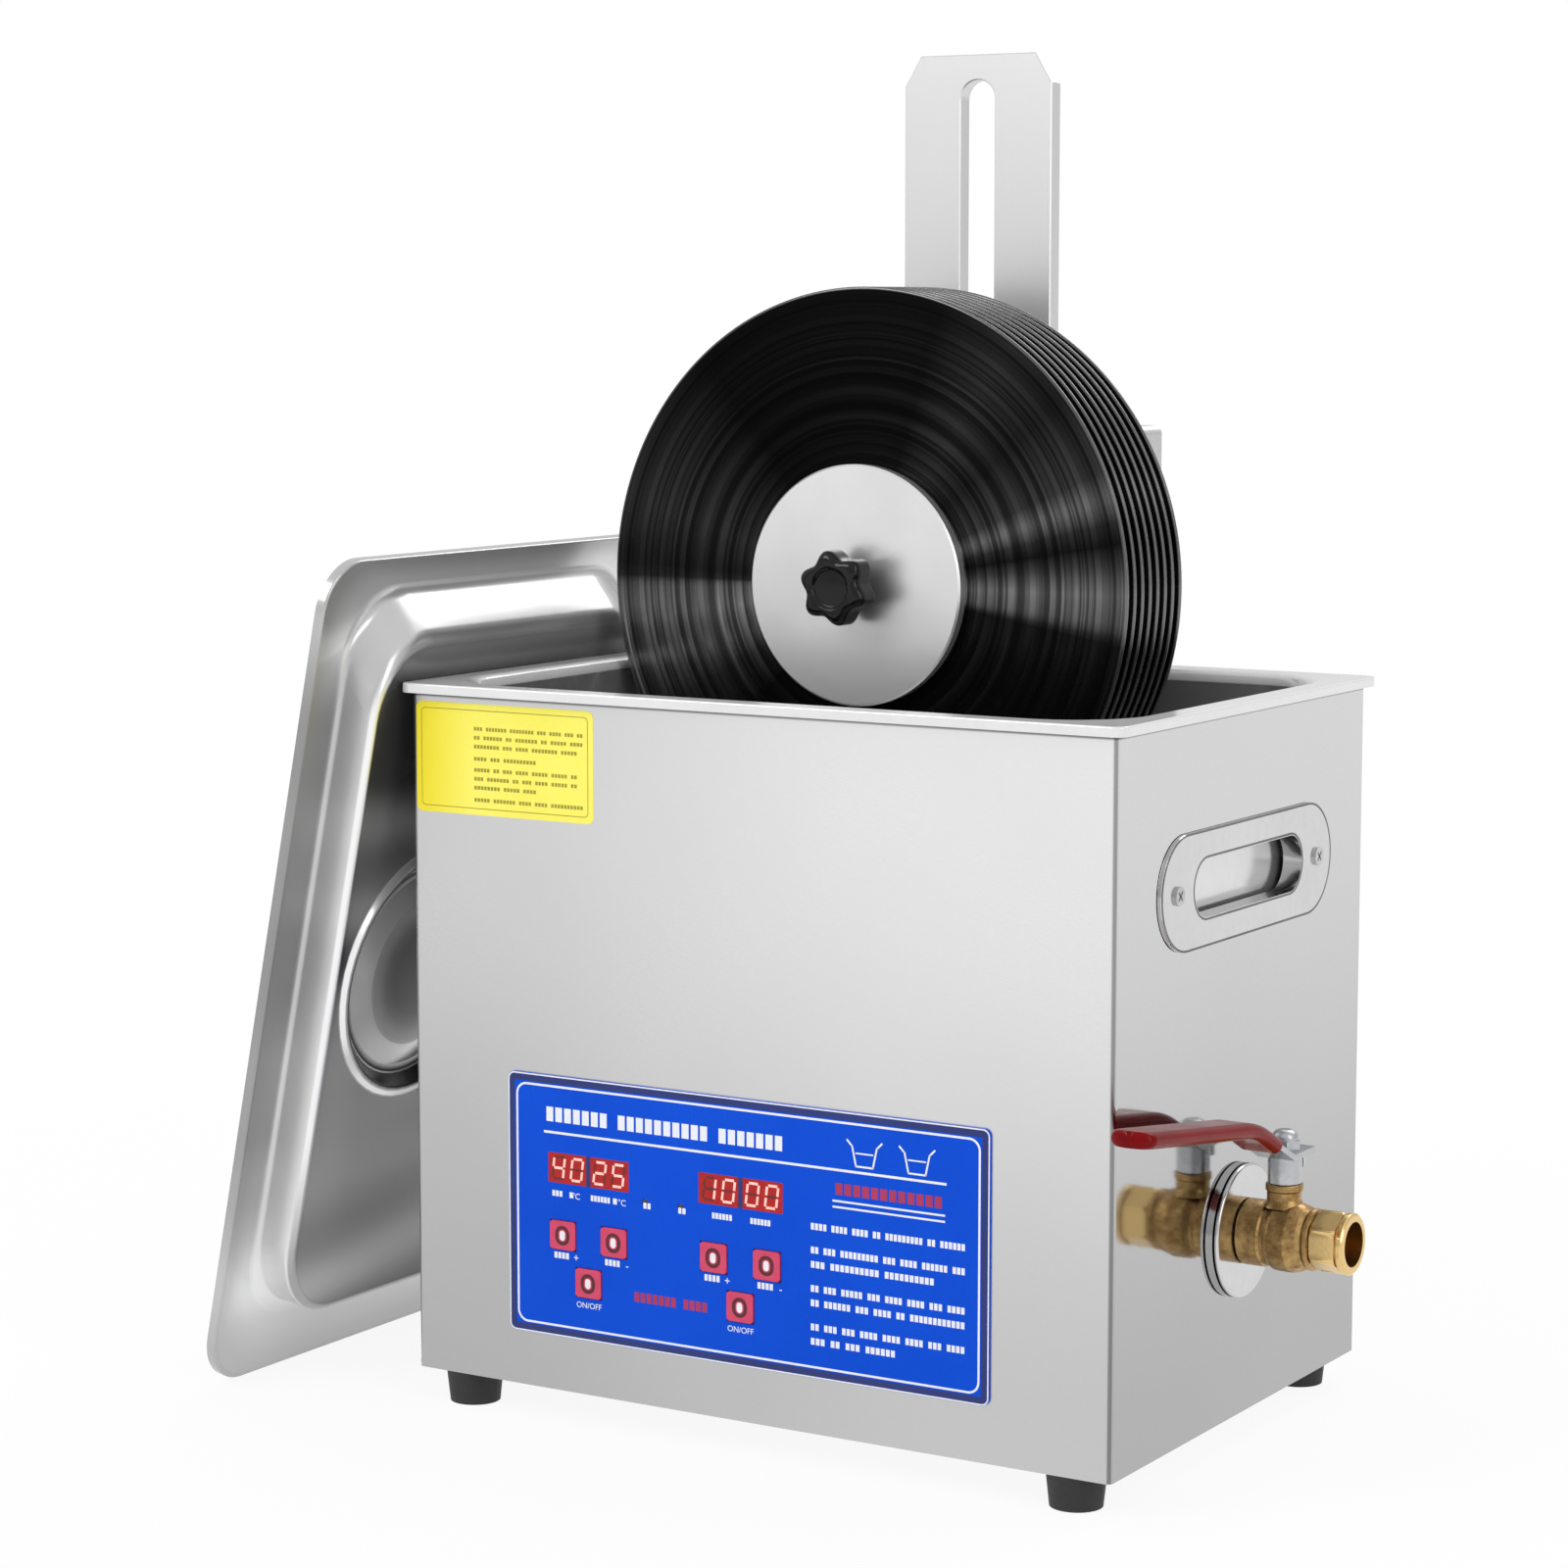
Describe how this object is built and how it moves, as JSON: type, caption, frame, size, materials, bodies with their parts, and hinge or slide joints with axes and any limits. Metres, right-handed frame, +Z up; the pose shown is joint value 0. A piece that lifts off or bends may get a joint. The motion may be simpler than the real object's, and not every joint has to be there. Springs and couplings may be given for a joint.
{
  "type": "record cleaning machine",
  "caption": "Ultrasonic record cleaning machine: heated steel tank with control panel, drain valve and lid, and a motorised spindle that turns a stack of records.",
  "frame": {"origin": "centre of the casing's underside, on the base plate's lower face; the feet reach 14 mm below it", "axes": "+Z up, -Y towards the control panel's side, +X towards the drain valve"},
  "size_m": [0.4648, 0.3295, 0.5662],
  "materials": {
    "stainless": "satin stainless sheet",
    "polished_steel": "polished stainless",
    "panel_blue": "satin printed film",
    "display_red": "tinted gloss",
    "button_pink": "satin",
    "led_red": "clear gloss",
    "circuit_green": "solder mask",
    "aluminium": "satin",
    "brass": "machined",
    "red_grip": "dipped vinyl",
    "black_plastic": "moulded",
    "vinyl_black": "gloss, grooved",
    "rubber_black": "matt",
    "zinc": "bright zinc",
    "iron": "plain",
    "ceramic": "fired",
    "heater_orange": "silicone"
  },
  "bodies": {
    "machine": {"casing": "stainless", "tank_basin": "polished_steel", "base_plate": "stainless", "rubber_feet": "rubber_black", "base_screws": "zinc", "control_panel": "panel_blue", "display_windows": "display_red", "display_modules": "black_plastic", "indicator_leds": "led_red", "button_switches": "black_plastic", "control_board": "circuit_green", "left_handle": "stainless", "right_handle": "stainless", "handle_screws": "zinc", "drain_pipe": "stainless", "valve_rose": "polished_steel", "valve_locknut": "brass", "valve_body": "brass", "transducer_horns": "aluminium", "piezo_rings": "ceramic", "transducer_masses": "iron", "transducer_bolts": "zinc", "heater_pads": "heater_orange", "generator_board": "circuit_green", "heatsink": "aluminium", "transformer": "iron", "fan_frame": "black_plastic", "power_inlet": "black_plastic", "switch_housing": "black_plastic", "fuse_holder": "black_plastic", "slotted_post": "aluminium", "rim_hook": "aluminium"},
    "valve_handle": {"valve_ball": "zinc", "valve_stem": "zinc", "valve_lever": "zinc", "lever_sleeve": "red_grip", "lever_nut": "zinc"},
    "fan": {"fan_rotor": "black_plastic"},
    "rocker": {"power_rocker": "black_plastic"},
    "left_clamp": {"left_rim_clamp": "black_plastic"},
    "right_clamp": {"right_rim_clamp": "black_plastic"},
    "lift": {"carriage": "aluminium", "motor_box": "aluminium", "motor_cover": "aluminium", "gear_motor": "zinc"},
    "lift_screw": {"lift_clamp": "black_plastic"},
    "record_stack": {"spindle": "polished_steel", "records": "vinyl_black", "record_spacers": "rubber_black", "front_end_plate": "aluminium", "back_end_plate": "aluminium"},
    "stack_knob": {"star_knob": "black_plastic"},
    "lid": {"lid": "polished_steel", "lid_handle": "black_plastic"},
    "temp_up_key": {"temp_up_button": "button_pink"},
    "temp_down_key": {"temp_down_button": "button_pink"},
    "heater_key": {"heater_button": "button_pink"},
    "time_up_key": {"time_up_button": "button_pink"},
    "time_down_key": {"time_down_button": "button_pink"},
    "timer_key": {"timer_button": "button_pink"}
  },
  "joints": [
    {"name": "valve_turn", "type": "hinge", "parent": "machine", "child": "valve_handle", "pos_m": [0.1825, -0.004, 0.0765], "axis": [0, 0, 1], "range_deg": [0, 90]},
    {"name": "fan_spin", "type": "hinge", "parent": "machine", "child": "fan", "pos_m": [0.088, 0.103, 0.05], "axis": [0, -1, 0], "continuous": true},
    {"name": "power_switch", "type": "hinge", "parent": "machine", "child": "rocker", "pos_m": [-0.066, 0.112, 0.045], "axis": [0, 0, 1], "range_deg": [0, 14]},
    {"name": "left_clamp_turn", "type": "hinge", "parent": "machine", "child": "left_clamp", "pos_m": [-0.049, 0.132, 0.236], "axis": [0, 1, 0], "range_deg": [0, 720]},
    {"name": "right_clamp_turn", "type": "hinge", "parent": "machine", "child": "right_clamp", "pos_m": [-0.005, 0.132, 0.236], "axis": [0, 1, 0], "range_deg": [0, 720]},
    {"name": "stack_lift", "type": "slide", "parent": "machine", "child": "lift", "axis": [0, 0, 1], "range_m": [0, 0.2]},
    {"name": "lift_clamp_turn", "type": "hinge", "parent": "lift", "child": "lift_screw", "pos_m": [0.01, 0.124, 0.352], "axis": [1, 0, 0], "range_deg": [0, 720]},
    {"name": "record_spin", "type": "hinge", "parent": "lift", "child": "record_stack", "pos_m": [-0.027, 0.045, 0.326], "axis": [0, -1, 0], "continuous": true},
    {"name": "star_knob_turn", "type": "hinge", "parent": "record_stack", "child": "stack_knob", "pos_m": [-0.027, 0, 0.326], "axis": [0, -1, 0], "range_deg": [0, 720]},
    {"name": "lid_lift", "type": "slide", "parent": "machine", "child": "lid", "axis": [0, 0, 1], "range_m": [0, 0.35]},
    {"name": "temp_up_press", "type": "slide", "parent": "machine", "child": "temp_up_key", "axis": [0, 1, 0], "range_m": [0, 0.0006], "stiffness_N_per_m": 600, "springref_m": -0.001},
    {"name": "temp_down_press", "type": "slide", "parent": "machine", "child": "temp_down_key", "axis": [0, 1, 0], "range_m": [0, 0.0006], "stiffness_N_per_m": 600, "springref_m": -0.001},
    {"name": "heater_press", "type": "slide", "parent": "machine", "child": "heater_key", "axis": [0, 1, 0], "range_m": [0, 0.0006], "stiffness_N_per_m": 600, "springref_m": -0.001},
    {"name": "time_up_press", "type": "slide", "parent": "machine", "child": "time_up_key", "axis": [0, 1, 0], "range_m": [0, 0.0006], "stiffness_N_per_m": 600, "springref_m": -0.001},
    {"name": "time_down_press", "type": "slide", "parent": "machine", "child": "time_down_key", "axis": [0, 1, 0], "range_m": [0, 0.0006], "stiffness_N_per_m": 600, "springref_m": -0.001},
    {"name": "timer_press", "type": "slide", "parent": "machine", "child": "timer_key", "axis": [0, 1, 0], "range_m": [0, 0.0006], "stiffness_N_per_m": 600, "springref_m": -0.001}
  ]
}
